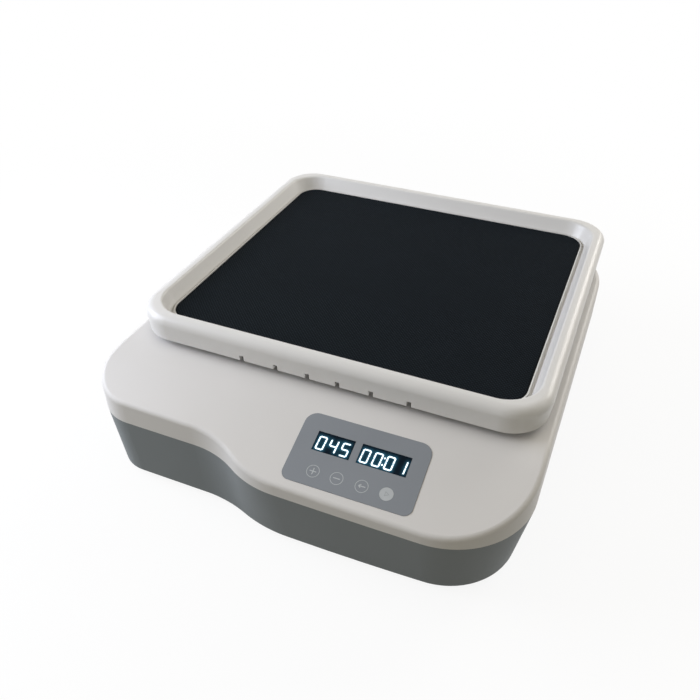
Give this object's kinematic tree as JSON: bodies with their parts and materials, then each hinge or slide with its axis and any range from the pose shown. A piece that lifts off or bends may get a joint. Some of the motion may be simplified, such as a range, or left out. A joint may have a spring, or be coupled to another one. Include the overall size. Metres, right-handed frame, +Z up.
{
  "type": "laboratory shaker",
  "caption": "Bench-top orbital shaker: low housing with a sloping control panel, and a rimmed tray with a non-slip mat that circles on cranks.",
  "frame": {"origin": "on the bench under the middle of the base", "axes": "+Z up, -Y towards the front with the control panel, +X to the right seen from the front"},
  "size_m": [0.247, 0.2746, 0.0863],
  "materials": {
    "cover_white": "satin moulded ABS",
    "housing_grey": "fine satin moulded ABS",
    "tray_white": "semi-gloss moulded ABS",
    "mat_black": "ribbed silicone rubber",
    "overlay_grey": "printed polycarbonate film",
    "window_dark": "smoked acrylic",
    "key_light": "lit diffuser",
    "display_module": "potted LED digits",
    "circuit_board": "solder-masked glass epoxy",
    "zinc_steel": "zinc-plated steel",
    "bright_steel": "ground steel",
    "alloy": "machined aluminium",
    "motor_steel": "black-coated steel can",
    "bearing_steel": "polished bearing steel",
    "belt_rubber": "flat rubber belt",
    "foot_rubber": "moulded rubber",
    "fitting_black": "moulded nylon",
    "screw_steel": "zinc-plated steel screws"
  },
  "bodies": {
    "base": {"lower_housing": "housing_grey", "top_cover": "cover_white", "control_overlay": "overlay_grey", "display_windows": "window_dark", "start_key_lens": "key_light", "speed_display": "display_module", "timer_display": "display_module", "display_board": "circuit_board", "control_board": "circuit_board", "chassis_plate": "zinc_steel", "chassis_standoffs": "zinc_steel", "chassis_screws": "screw_steel", "drive_bearing_housing": "alloy", "drive_bearings": "bearing_steel", "idler_bearing_posts": "alloy", "idler_bearings": "bearing_steel", "motor_body": "motor_steel", "motor_screws": "screw_steel", "drive_belt": "belt_rubber", "foot_screws": "screw_steel", "housing_screws": "screw_steel", "speed_sensor": "fitting_black", "switch_bezel": "fitting_black", "power_inlet": "fitting_black", "foot_front_left": "foot_rubber", "foot_front_right": "foot_rubber", "foot_back_left": "foot_rubber", "foot_back_right": "foot_rubber"},
    "drive_crank": {"drive_shaft": "bright_steel", "driven_pulley": "alloy", "crank_hub": "alloy", "crank_pin": "bright_steel", "counterweight": "zinc_steel", "counterweight_screws": "screw_steel"},
    "platform": {"drive_plate": "alloy", "platform_bearings": "bearing_steel", "tray": "tray_white", "tray_screws": "screw_steel", "mat": "mat_black"},
    "motor_rotor": {"motor_shaft": "bright_steel", "motor_pulley": "alloy"},
    "rocker": {"power_rocker": "fitting_black"},
    "idler_front_left": {"idler_crank_front_left": "bright_steel"},
    "idler_front_right": {"idler_crank_front_right": "bright_steel"},
    "idler_back_left": {"idler_crank_back_left": "bright_steel"},
    "idler_back_right": {"idler_crank_back_right": "bright_steel"}
  },
  "joints": [
    {"name": "crank_spin", "type": "hinge", "parent": "base", "child": "drive_crank", "pos_m": [0, 0.0184, 0.04], "axis": [0, 0, 1], "continuous": true},
    {"name": "platform_orbit", "type": "hinge", "parent": "drive_crank", "child": "platform", "pos_m": [0.00105, 0.02835, 0.07], "axis": [0, 0, 1], "continuous": true},
    {"name": "motor_spin", "type": "hinge", "parent": "base", "child": "motor_rotor", "pos_m": [-0.068, 0.0184, 0.03], "axis": [0, 0, 1], "continuous": true},
    {"name": "power_switch", "type": "hinge", "parent": "base", "child": "rocker", "pos_m": [-0.046, 0.13184, 0.0244], "axis": [-1, 0, 0], "range_deg": [0, 20]},
    {"name": "idler_front_left_spin", "type": "hinge", "parent": "base", "child": "idler_front_left", "pos_m": [-0.08, -0.0516, 0.04], "axis": [0, 0, 1], "continuous": true},
    {"name": "idler_front_right_spin", "type": "hinge", "parent": "base", "child": "idler_front_right", "pos_m": [0.08, -0.0516, 0.04], "axis": [0, 0, 1], "continuous": true},
    {"name": "idler_back_left_spin", "type": "hinge", "parent": "base", "child": "idler_back_left", "pos_m": [-0.08, 0.0884, 0.04], "axis": [0, 0, 1], "continuous": true},
    {"name": "idler_back_right_spin", "type": "hinge", "parent": "base", "child": "idler_back_right", "pos_m": [0.08, 0.0884, 0.04], "axis": [0, 0, 1], "continuous": true}
  ],
  "couplings": [
    {"joint": "platform_orbit", "follows": "crank_spin", "ratio": -1},
    {"joint": "motor_spin", "follows": "crank_spin", "ratio": 3},
    {"joint": "idler_front_left_spin", "follows": "crank_spin", "ratio": 1},
    {"joint": "idler_front_right_spin", "follows": "crank_spin", "ratio": 1},
    {"joint": "idler_back_left_spin", "follows": "crank_spin", "ratio": 1},
    {"joint": "idler_back_right_spin", "follows": "crank_spin", "ratio": 1}
  ]
}
